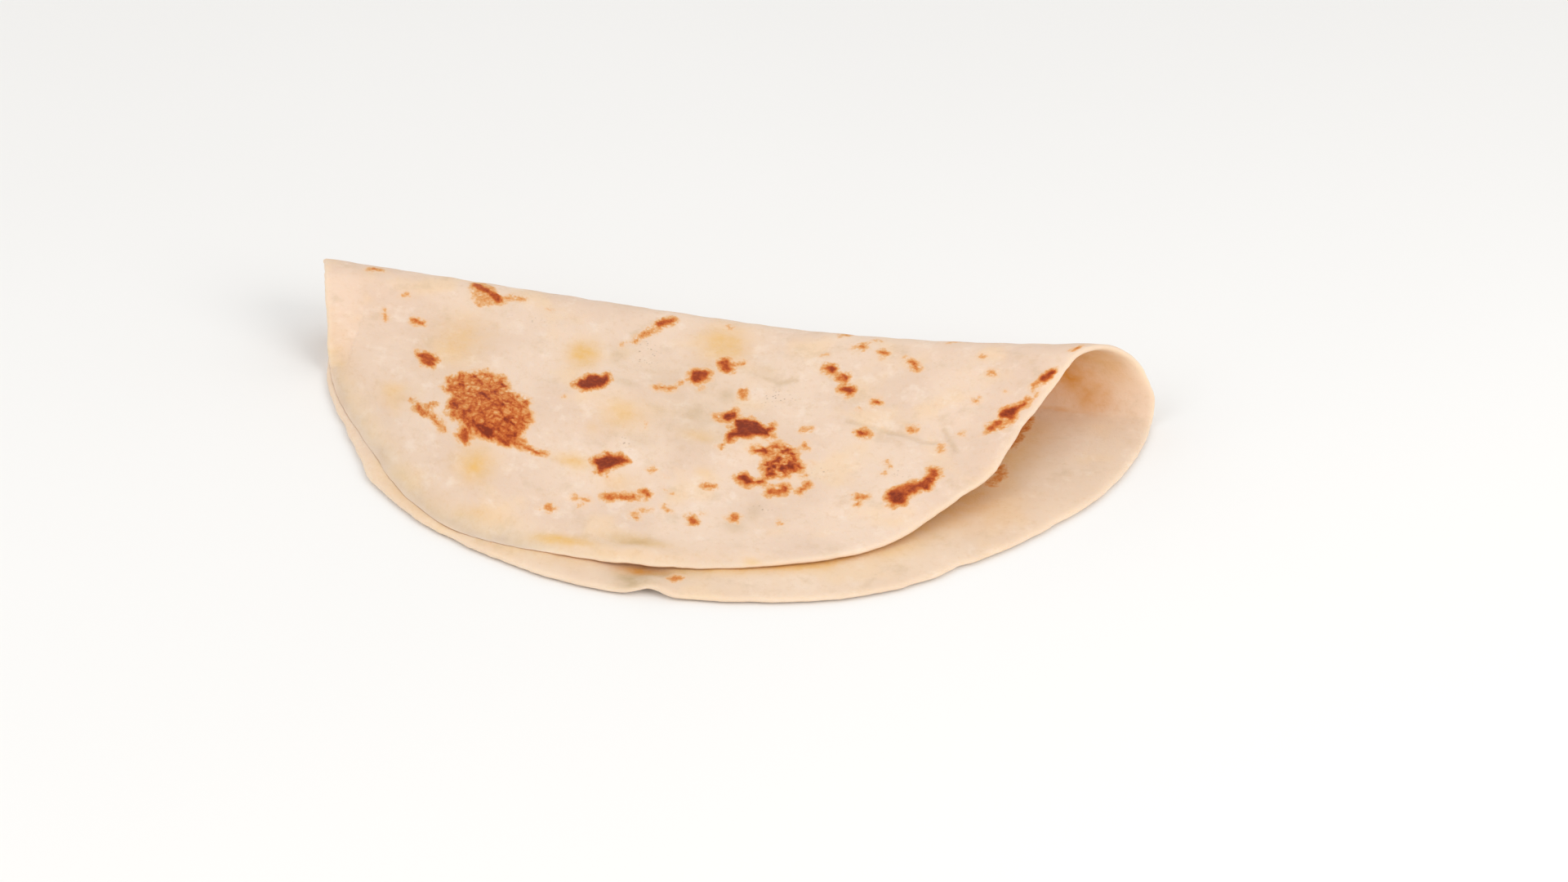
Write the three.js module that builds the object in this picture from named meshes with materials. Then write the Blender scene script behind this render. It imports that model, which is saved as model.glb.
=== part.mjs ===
// A cooked flour tortilla, folded once into a half-moon and laid down with its fold at the back.
// The thin round sheet is set out flat, and one function then bends it round the fold.
// Lengths are in millimetres and angles in degrees. +X runs along the fold, +Y points back
// past it, and +Z is up. The origin is under the middle of the folded piece.
import * as THREE from "three";
import { mergeVertices } from "three/addons/utils/BufferGeometryUtils.js";

// The flat sheet: a ten-inch round, rolled by hand, so its rim leaves the true circle a little
const SHEET_RADIUS = 125;
const SHEET_THICKNESS = 2;
const RIM_LOBES = [
  { lobes: 2, depth: 2.9, turn: -67 },
  { lobes: 3, depth: 1.9, turn: -27 },
  { lobes: 4, depth: 0.4, turn: 1 },
  { lobes: 5, depth: 1.9, turn: -20.7 },
  { lobes: 6, depth: 2.1, turn: -2.6 },
];

// Nicks and shallow dents in the rim. A depth below nought is a place that stands out.
const RIM_NICKS = [
  { turn: -88.7, depth: 1.7, width: 9 },
  { turn: -47.7, depth: 1.1, width: 6 },
  { turn: -31, depth: 1, width: 24 },
  { turn: -137.4, depth: -1, width: 14 },
  { turn: 169, depth: 2.8, width: 34 },
  { turn: 143.2, depth: -6.9, width: 50 },
  { turn: 37, depth: -2.5, width: 18.5 },
  { turn: 27.3, depth: 0.8, width: 8.5 },
];

// Places where the rim lifts: how high, how wide round the rim, and how far in from it.
// The first is the pucker at the nick in the lower layer's front, the second the upper rim over it.
const RIM_LIFTS = [
  { turn: -88.7, rise: 1.5, width: 11, inward: 12 },
  { turn: 87, rise: 1, width: 10, inward: 12 },
];

// The crease: where the lower layer turns up, measured from the sheet's centre
const CENTRE_ALONG = -3.7;
const CENTRE_ACROSS = 7.4;
const CREASE_RADIUS = 3;
const CREASE_ANGLE = 60;

// The roll over the crease: its radius at mid-length, its growth towards each end, and the
// straight wall below it, as a share of that radius
const ROLL_RADIUS = 8.6;
const ROLL_SLANT = -3;
const ROLL_GROWTH_LEFT = 0.4;
const ROLL_GROWTH_RIGHT = 7.2;
const WALL_SHARE = 0.65;

// The upper layer: how far in front of the crease it comes down on the lower layer
const LANDING = 91.3;
const LANDING_SLANT = -24.7;
const LANDING_GROWTH = 16.2;
const LANDING_SOFTNESS = 1.2;
const LAYER_GAP = 0.35;

// The upper layer slid to the left as the sheet was folded, and the mouths flare outwards
const SLIDE = 10;
const FLARE = 3.5;

// Sag or swell of the upper layer between roll and landing, towards the left and right ends
const SWELL = 0.9;
const SWELL_LEFT = -2.7;
const SWELL_RIGHT = -3.1;

// The left end of the upper layer sank onto the lower one: how far for each millimetre past the
// roll, the shares of the length where that starts and is full, and how softly it begins. For
// each millimetre that it sank, it drew back and to the left.
const SINK = 0.43;
const SINK_FROM = 0.38;
const SINK_FULL = 0.83;
const SINK_START = 4;
const SINK_BACK = 1.55;
const SINK_LEFT = 0.32;

// Soft waves of the upper layer, which was cooked uneven
const WAVE_HEIGHT = 0.45;
const WAVE_LENGTH_ALONG = 63;
const WAVE_LENGTH_ACROSS = 47;

// Blisters on the outer face, placed from the sheet's centre
const BLISTERS = [
  { along: -50, across: 79, width: 27, rise: 1.1 },
  { along: -67, across: 84, width: 14, rise: 0.5 },
  { along: -24, across: 61, width: 13, rise: 0.6 },
  { along: 25, across: 68, width: 17, rise: 0.8 },
  { along: 36, across: 79, width: 19, rise: 0.8 },
  { along: -10, across: 91, width: 13, rise: 0.6 },
  { along: 77, across: 87, width: 17, rise: 0.7 },
  { along: 97, across: 64, width: 16, rise: 0.6 },
];

// The rim is rounded over and a little thinner than the sheet
const RIM_ROUNDING = 0.35;
const RIM_THINNING = 0.82;

// Mesh rows across the sheet: the lower layer, the roll and the upper layer
const LOWER_ROWS = 17;
const ROLL_ROWS = 14;
const UPPER_ROWS = 17;
const COLUMNS = 38;
const ROW_END_ANGLE = 87;

const { degToRad, clamp, smoothstep } = THREE.MathUtils;
const ROWS = LOWER_ROWS + ROLL_ROWS + UPPER_ROWS;
const CONTACT_HEIGHT = SHEET_THICKNESS + LAYER_GAP;

// How strongly something at one place on the rim acts in a direction: 1 there, 0 far off
function nearTurn(direction, turn, width) {
  const apart = direction - degToRad(turn);
  const turned = Math.atan2(Math.sin(apart), Math.cos(apart));
  const away = (2 * SHEET_RADIUS * turned) / width;
  return Math.exp(-away * away);
}

// Radius of the flat sheet's rim in a direction from its centre
function rimRadius(direction) {
  let radius = SHEET_RADIUS;
  for (const { lobes, depth, turn } of RIM_LOBES) {
    radius += depth * Math.cos(lobes * (direction - degToRad(turn)));
  }
  for (const { turn, depth, width } of RIM_NICKS) {
    radius -= depth * nearTurn(direction, turn, width);
  }
  return radius;
}

// Height that the rim's lifts add at a place measured from the sheet's centre
function rimLift(along, across) {
  const direction = Math.atan2(across, along);
  const inset = rimRadius(direction) - Math.hypot(along, across);
  let lift = 0;
  for (const { turn, rise, width, inward } of RIM_LIFTS) {
    const close = 1 - smoothstep(inset, 0, inward);
    lift += rise * close * nearTurn(direction, turn, width);
  }
  return lift;
}

// The cross-section of the fold at one place along it
function sectionAt(along) {
  const share = along / SHEET_RADIUS;
  const growth = share < 0 ? ROLL_GROWTH_LEFT : ROLL_GROWTH_RIGHT;
  const roll = ROLL_RADIUS + ROLL_SLANT * share + growth * share * share;
  const lean = degToRad(CREASE_ANGLE);
  const wall = WALL_SHARE * roll;
  const landing = LANDING + LANDING_SLANT * share + LANDING_GROWTH * share * share;
  const rollCentreAcross =
    (CREASE_RADIUS - roll) * Math.sin(lean) + wall * Math.cos(lean);
  const rollCentreHeight =
    CREASE_RADIUS + (roll - CREASE_RADIUS) * Math.cos(lean) + wall * Math.sin(lean);
  // The upper layer leaves the roll on the tangent that meets the landing
  const reach = landing + rollCentreAcross;
  const drop = rollCentreHeight - CONTACT_HEIGHT;
  const straight = Math.hypot(reach, drop);
  const slope = Math.atan2(drop, reach) + Math.asin(roll / straight);
  const creaseLength = CREASE_RADIUS * lean;
  const rollStart = creaseLength + wall;
  return {
    share,
    roll,
    lean,
    rollCentreAcross,
    rollCentreHeight,
    slope,
    creaseLength,
    rollStart,
    rollEnd: rollStart + roll * (Math.PI + slope - lean),
    descent: Math.sqrt(straight * straight - roll * roll),
  };
}

// The larger of two heights, with a soft change from one to the other
function softMax(first, second, softness) {
  return (first + second + Math.hypot(first - second, softness)) / 2;
}

// Mid-surface of the folded sheet; across is measured along the sheet from the crease
function foldedMiddle(along, across) {
  const section = sectionAt(along);
  const { share, roll, lean, slope, creaseLength, rollStart, rollEnd } = section;
  const travelled = Math.max(across, 0);
  let y = across;
  let z = 0;
  let drop = 0;
  if (travelled > rollEnd) {
    const past = travelled - rollEnd;
    const onSlope = Math.min(past, section.descent);
    const topAngle = Math.PI + slope;
    y = section.rollCentreAcross + roll * Math.sin(topAngle);
    y -= onSlope * Math.cos(slope) + past - onSlope;
    const sloping =
      section.rollCentreHeight - roll * Math.cos(topAngle) - past * Math.sin(slope);
    const side = share < 0 ? SWELL_LEFT : SWELL_RIGHT;
    const between = Math.sin(Math.PI * clamp(past / section.descent, 0, 1)) ** 2;
    const swell = (SWELL + side * share) * between;
    const wave =
      WAVE_HEIGHT *
      smoothstep(past, 0, WAVE_LENGTH_ACROSS) *
      Math.sin((2 * Math.PI * along) / WAVE_LENGTH_ALONG + past / WAVE_LENGTH_ACROSS) *
      Math.sin((2 * Math.PI * past) / WAVE_LENGTH_ACROSS);
    const free = sloping + swell + wave;
    const sinking = SINK * clamp((-share - SINK_FROM) / (SINK_FULL - SINK_FROM), 0, 1) ** 2;
    const sunk = (sinking * past * past) / (past + SINK_START);
    z = softMax(free - sunk, CONTACT_HEIGHT, LANDING_SOFTNESS);
    drop = softMax(free, CONTACT_HEIGHT, LANDING_SOFTNESS) - z;
    y += SINK_BACK * drop;
  } else if (travelled > rollStart) {
    const angle = lean + (travelled - rollStart) / roll;
    y = section.rollCentreAcross + roll * Math.sin(angle);
    z = section.rollCentreHeight - roll * Math.cos(angle);
  } else if (travelled > 0) {
    const bend = Math.min(travelled, creaseLength) / CREASE_RADIUS;
    const upWall = Math.max(travelled - creaseLength, 0);
    y = CREASE_RADIUS * Math.sin(bend) + upWall * Math.cos(lean);
    z = CREASE_RADIUS * (1 - Math.cos(bend)) + upWall * Math.sin(lean);
  }
  const round = clamp(travelled / rollEnd, 0, 1);
  const slid = SLIDE * smoothstep(round, 0, 1) + SINK_LEFT * drop;
  const x = along - slid + FLARE * Math.sin(Math.PI * round) * share;
  z += SHEET_THICKNESS / 2 + rimLift(along - CENTRE_ALONG, across - CENTRE_ACROSS);
  return new THREE.Vector3(x, y, z);
}

// Unit normal of the mid-surface, pointing to the inside of the fold
function insideNormal(along, across) {
  const step = 0.02;
  const onwards = foldedMiddle(along + step, across).sub(foldedMiddle(along - step, across));
  const round = foldedMiddle(along, across + step).sub(foldedMiddle(along, across - step));
  return onwards.cross(round).normalize();
}

// Height that the blisters add to the outer face, at a place from the sheet's centre
function blisterRise(along, across) {
  let rise = 0;
  for (const blister of BLISTERS) {
    const away = Math.hypot(along - blister.along, across - blister.across);
    rise += blister.rise * (1 - smoothstep(away, 0, 0.6 * blister.width));
  }
  return rise;
}

// Place of mesh row number row, across the sheet from its centre, for a sheet of radius 1:
// the rows are even within each of the three bands, by angle round the rim
function rowPlace(row) {
  const end = degToRad(ROW_END_ANGLE);
  const rollLength = sectionAt(0).rollEnd;
  const crease = Math.asin(-CENTRE_ACROSS / SHEET_RADIUS);
  const rollTop = Math.asin((rollLength - CENTRE_ACROSS) / SHEET_RADIUS);
  if (row <= LOWER_ROWS) {
    return Math.sin(THREE.MathUtils.lerp(-end, crease, row / LOWER_ROWS));
  }
  if (row <= LOWER_ROWS + ROLL_ROWS) {
    return Math.sin(THREE.MathUtils.lerp(crease, rollTop, (row - LOWER_ROWS) / ROLL_ROWS));
  }
  const above = (row - LOWER_ROWS - ROLL_ROWS) / UPPER_ROWS;
  return Math.sin(THREE.MathUtils.lerp(rollTop, end, above));
}

// The sheet starts as a flat block of one layer of cells, from -1 to 1 each way. Each of its
// points moves to the round sheet, then round the fold, then out to its own face.
function tortillaGeometry() {
  const block = new THREE.BoxGeometry(2, 2, 2, COLUMNS, ROWS, 2);
  block.deleteAttribute("normal");
  block.deleteAttribute("uv");
  const sheet = mergeVertices(block);
  const position = sheet.getAttribute("position");
  for (let i = 0; i < position.count; i++) {
    const column = position.getX(i);
    const row = Math.round(((position.getY(i) + 1) / 2) * ROWS);
    const face = Math.round(position.getZ(i));
    const unitAcross = rowPlace(row);
    const unitAlong = column * Math.sqrt(1 - unitAcross * unitAcross);
    const atRim = Math.abs(column) === 1 || row === 0 || row === ROWS;
    const rounding = atRim ? RIM_ROUNDING * (1 - 2 * Math.abs(face)) : 0;
    const radius = rimRadius(Math.atan2(unitAcross, unitAlong)) + rounding;
    const along = radius * unitAlong;
    const across = radius * unitAcross;
    const thinning = atRim ? RIM_THINNING : 1;
    const rise = face < 0 ? blisterRise(along, across) : 0;
    const offset = face * (thinning * SHEET_THICKNESS / 2 + rise);
    const sheetAlong = along + CENTRE_ALONG;
    const sheetAcross = across + CENTRE_ACROSS;
    const point = foldedMiddle(sheetAlong, sheetAcross);
    point.addScaledVector(insideNormal(sheetAlong, sheetAcross), offset);
    position.setXYZ(i, point.x, point.y, point.z);
  }
  sheet.computeBoundingBox();
  const middle = sheet.boundingBox.getCenter(new THREE.Vector3());
  sheet.translate(-middle.x, -middle.y, -sheet.boundingBox.min.z);
  sheet.computeVertexNormals();
  return sheet;
}

const bakedDough = new THREE.MeshStandardMaterial({
  color: "#eed7bc",
  roughness: 0.8,
  metalness: 0,
});

const tortilla = new THREE.Mesh(tortillaGeometry(), bakedDough);
tortilla.name = "tortilla";

const group = new THREE.Group();
group.add(tortilla);

export default group;
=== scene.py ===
"""The looks of a folded flour tortilla: its uneven sheet, the marks from the griddle and the dough."""

import math
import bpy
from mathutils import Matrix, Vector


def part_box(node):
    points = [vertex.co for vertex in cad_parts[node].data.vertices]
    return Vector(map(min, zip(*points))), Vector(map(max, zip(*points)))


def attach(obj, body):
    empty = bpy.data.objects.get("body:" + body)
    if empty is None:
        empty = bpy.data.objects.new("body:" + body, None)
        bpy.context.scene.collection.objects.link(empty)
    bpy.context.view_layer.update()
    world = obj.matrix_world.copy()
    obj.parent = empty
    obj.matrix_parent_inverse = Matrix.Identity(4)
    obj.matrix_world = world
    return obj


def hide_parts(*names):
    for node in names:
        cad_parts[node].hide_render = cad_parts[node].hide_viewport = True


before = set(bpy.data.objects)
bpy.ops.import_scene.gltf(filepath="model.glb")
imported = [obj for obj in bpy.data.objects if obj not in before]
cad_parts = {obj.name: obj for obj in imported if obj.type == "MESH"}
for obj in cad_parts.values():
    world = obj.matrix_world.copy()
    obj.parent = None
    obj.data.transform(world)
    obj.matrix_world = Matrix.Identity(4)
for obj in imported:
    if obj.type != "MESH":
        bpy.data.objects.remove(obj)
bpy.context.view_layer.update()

from types import SimpleNamespace

import bmesh
import bpy
import numpy as np


# The folded tortilla.
# The real piece is one thin round of wheat dough with a little fat, rolled out by hand and cooked
# on a dry griddle. It is folded once into a half-moon, and nothing holds the fold but its own weight.
# All its sizes below are in millimetres, and its angles in degrees.

# The flat sheet, a ten-inch round whose rim leaves the true circle a little
SHEET_RADIUS = 125
SHEET_THICKNESS = 2
RIM_LOBES = [
    {"lobes": 2, "depth": 2.9, "turn": -67},
    {"lobes": 3, "depth": 1.9, "turn": -27},
    {"lobes": 4, "depth": 0.4, "turn": 1},
    {"lobes": 5, "depth": 1.9, "turn": -20.7},
    {"lobes": 6, "depth": 2.1, "turn": -2.6},
]

# Nicks and shallow dents in the rim. A depth below nought is a place that stands out.
RIM_NICKS = [
    {"turn": -88.7, "depth": 1.7, "width": 9},
    {"turn": -47.7, "depth": 1.1, "width": 6},
    {"turn": -31, "depth": 1, "width": 24},
    {"turn": -137.4, "depth": -1, "width": 14},
    {"turn": 169, "depth": 2.8, "width": 34},
    {"turn": 143.2, "depth": -6.9, "width": 50},
    {"turn": 37, "depth": -2.5, "width": 18.5},
    {"turn": 27.3, "depth": 0.8, "width": 8.5},
]

# Where the rim lifts: how high, how wide round the rim, and how far in from it
RIM_LIFTS = [
    {"turn": -88.7, "rise": 1.5, "width": 11, "inward": 12},
    {"turn": 87, "rise": 1, "width": 10, "inward": 12},
]


def near_turn(direction, turn, width):
    """How strongly something at one place on the rim acts in each direction, from 0 to 1."""
    apart = direction - math.radians(turn)
    turned = np.arctan2(np.sin(apart), np.cos(apart))
    return np.exp(-((2 * SHEET_RADIUS * turned / width) ** 2))


def smooth_step(value, low, high):
    """0 below low, 1 above high, and an even curve between them."""
    share = np.clip((value - low) / (high - low), 0, 1)
    return share * share * (3 - 2 * share)


def rim_radius(direction):
    """Radius of the flat sheet's rim in each direction from its centre."""
    radius = np.full_like(direction, SHEET_RADIUS)
    for lobe in RIM_LOBES:
        radius += lobe["depth"] * np.cos(lobe["lobes"] * (direction - math.radians(lobe["turn"])))
    for nick in RIM_NICKS:
        radius -= nick["depth"] * near_turn(direction, nick["turn"], nick["width"])
    return radius


def rim_inset(along, across):
    """How far each place, measured from the sheet's centre, lies in from the rim."""
    return rim_radius(np.arctan2(across, along)) - np.hypot(along, across)


def rim_lift(along, across):
    """Height that the rim's lifts add at each place from the sheet's centre."""
    direction = np.arctan2(across, along)
    inset = rim_inset(along, across)
    lift = np.zeros_like(along)
    for part in RIM_LIFTS:
        close = 1 - smooth_step(inset, 0, part["inward"])
        lift += part["rise"] * close * near_turn(direction, part["turn"], part["width"])
    return lift


# The fold. Across is measured along the sheet from the crease, where the lower layer turns up.
CENTRE_ALONG = -3.7
CENTRE_ACROSS = 7.4
CREASE_RADIUS = 3
CREASE_ANGLE = 60
ROLL_RADIUS = 8.6
ROLL_SLANT = -3
ROLL_GROWTH_LEFT = 0.4
ROLL_GROWTH_RIGHT = 7.2
WALL_SHARE = 0.65

# The upper layer comes down on the lower one in front of the crease
LANDING = 91.3
LANDING_SLANT = -24.7
LANDING_GROWTH = 16.2
LANDING_SOFTNESS = 1.2
LAYER_GAP = 0.35
SLIDE = 10
FLARE = 3.5

# Sag, swell and soft waves of the upper layer between the roll and the landing
SWELL = 0.9
SWELL_LEFT = -2.7
SWELL_RIGHT = -3.1
WAVE_HEIGHT = 0.45
WAVE_LENGTH_ALONG = 63
WAVE_LENGTH_ACROSS = 47

# The left end of the upper layer sank onto the lower one: how far for each millimetre past the
# roll, the shares of the length where that starts and is full, and how softly it begins. For
# each millimetre that it sank, it drew back and to the left.
SINK = 0.43
SINK_FROM = 0.38
SINK_FULL = 0.83
SINK_START = 4
SINK_BACK = 1.55
SINK_LEFT = 0.32


def section_at(along):
    """The cross-section of the fold at each place along it."""
    share = along / SHEET_RADIUS
    growth = np.where(share < 0, ROLL_GROWTH_LEFT, ROLL_GROWTH_RIGHT)
    roll = ROLL_RADIUS + ROLL_SLANT * share + growth * share**2
    lean = math.radians(CREASE_ANGLE)
    wall = WALL_SHARE * roll
    landing = LANDING + LANDING_SLANT * share + LANDING_GROWTH * share**2
    roll_across = (CREASE_RADIUS - roll) * math.sin(lean) + wall * math.cos(lean)
    roll_height = CREASE_RADIUS + (roll - CREASE_RADIUS) * math.cos(lean) + wall * math.sin(lean)
    # The upper layer leaves the roll on the tangent that meets the landing
    reach = landing + roll_across
    drop = roll_height - SHEET_THICKNESS - LAYER_GAP
    straight = np.hypot(reach, drop)
    slope = np.arctan2(drop, reach) + np.arcsin(roll / straight)
    crease_length = CREASE_RADIUS * lean
    roll_start = crease_length + wall
    return SimpleNamespace(
        share=share,
        roll=roll,
        lean=lean,
        roll_across=roll_across,
        roll_height=roll_height,
        slope=slope,
        crease_length=crease_length,
        roll_start=roll_start,
        roll_end=roll_start + roll * (math.pi + slope - lean),
        descent=np.sqrt(straight**2 - roll**2),
    )


def lands_softly(free):
    """The larger of a free height and the lower layer's, with a soft change between them."""
    rest = SHEET_THICKNESS + LAYER_GAP
    return (free + rest + np.hypot(free - rest, LANDING_SOFTNESS)) / 2


def upper_layer(at, along, past):
    """Place across, height and sinking of the upper layer, past the end of the roll."""
    on_slope = np.minimum(past, at.descent)
    top_angle = math.pi + at.slope
    across = at.roll_across + at.roll * np.sin(top_angle)
    across = across - on_slope * np.cos(at.slope) - (past - on_slope)
    sloping = at.roll_height - at.roll * np.cos(top_angle) - past * np.sin(at.slope)
    side = np.where(at.share < 0, SWELL_LEFT, SWELL_RIGHT)
    between = np.sin(math.pi * np.clip(past / at.descent, 0, 1)) ** 2
    swell = (SWELL + side * at.share) * between
    wave = (
        WAVE_HEIGHT
        * smooth_step(past, 0, WAVE_LENGTH_ACROSS)
        * np.sin(2 * math.pi * along / WAVE_LENGTH_ALONG + past / WAVE_LENGTH_ACROSS)
        * np.sin(2 * math.pi * past / WAVE_LENGTH_ACROSS)
    )
    free = sloping + swell + wave
    sinking = SINK * np.clip((-at.share - SINK_FROM) / (SINK_FULL - SINK_FROM), 0, 1) ** 2
    height = lands_softly(free - sinking * past**2 / (past + SINK_START))
    drop = lands_softly(free) - height
    return across + SINK_BACK * drop, height, drop


def folded_middle(along, across):
    """Mid-surface of the folded sheet, for places measured from the middle of the crease."""
    at = section_at(along)
    travelled = np.maximum(across, 0)
    bend = np.minimum(travelled, at.crease_length) / CREASE_RADIUS
    up_wall = np.maximum(travelled - at.crease_length, 0)
    y = CREASE_RADIUS * np.sin(bend) + up_wall * math.cos(at.lean)
    z = CREASE_RADIUS * (1 - np.cos(bend)) + up_wall * math.sin(at.lean)
    angle = at.lean + (travelled - at.roll_start) / at.roll
    on_roll = travelled > at.roll_start
    y = np.where(on_roll, at.roll_across + at.roll * np.sin(angle), y)
    z = np.where(on_roll, at.roll_height - at.roll * np.cos(angle), z)
    past = np.maximum(travelled - at.roll_end, 0)
    upper_y, upper_z, drop = upper_layer(at, along, past)
    y = np.where(past > 0, upper_y, y)
    z = np.where(past > 0, upper_z, z)
    y = np.where(across < 0, across, y)
    round_roll = np.clip(travelled / at.roll_end, 0, 1)
    slid = SLIDE * smooth_step(round_roll, 0, 1) + np.where(past > 0, SINK_LEFT * drop, 0)
    x = along - slid + FLARE * np.sin(math.pi * round_roll) * at.share
    z = z + SHEET_THICKNESS / 2 + rim_lift(along - CENTRE_ALONG, across - CENTRE_ACROSS)
    return np.stack([x, y, z], axis=1)


def inside_normal(along, across):
    """Unit normal of the mid-surface, pointing to the inside of the fold."""
    step = 0.02
    onwards = folded_middle(along + step, across) - folded_middle(along - step, across)
    round_fold = folded_middle(along, across + step) - folded_middle(along, across - step)
    normal = np.cross(onwards, round_fold)
    return normal / np.linalg.norm(normal, axis=1)[:, None]


# The griddle's marks, typed as seen on the flat sheet: each place is how far along and across it
# lies from the sheet's centre. Heat runs from 0.2, a faint tan, to 1, the darkest brown.
# A blot is an outline with one heat, and a stroke is a line with a width and a heat.
OUTER_BLOTS = [
    (0.93, [(-29, 60), (-28, 57), (-26, 54.5), (-22, 53.5), (-20.5, 52.3), (-19.8, 54.5), (-21, 58),
           (-23, 60), (-26, 61.3)]),
    (0.93, [(19.5, 60), (23.5, 58.3), (27, 61), (29.5, 62), (31, 60.3), (31.8, 64.5), (26, 66.8),
           (22, 68), (20.3, 69.5), (19.5, 68), (20.3, 65)]),
    (0.95, [(-15, 87), (-12.5, 84.5), (-9, 84), (-7, 85.5), (-8.5, 87.5), (-11, 88.5), (-12.5, 92),
           (-14, 92.3), (-14.5, 90), (-16.7, 88)]),
    (0.86, [(2.7, 44), (4, 42.7), (7.8, 42.6), (8.6, 44), (7, 46.5), (4.8, 47.8), (3.3, 47.3)]),
    (0.74, [(-78.5, 59.7), (-73, 59.6), (-71.2, 62), (-72.5, 64.5), (-75, 65), (-76.5, 62.5)]),
    (0.7, [(68.8, 86), (69.3, 83.3), (75, 79.5), (78, 77), (79.3, 72.7), (81.5, 73), (82.2, 76),
           (80, 82), (77.5, 83), (73.8, 88), (71.5, 89.3), (69.8, 88.3)]),
    (0.27, [(-70, 27), (-61, 30), (-61, 32), (-63, 34), (-66, 34.5), (-69, 32.5)]),
]
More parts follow.
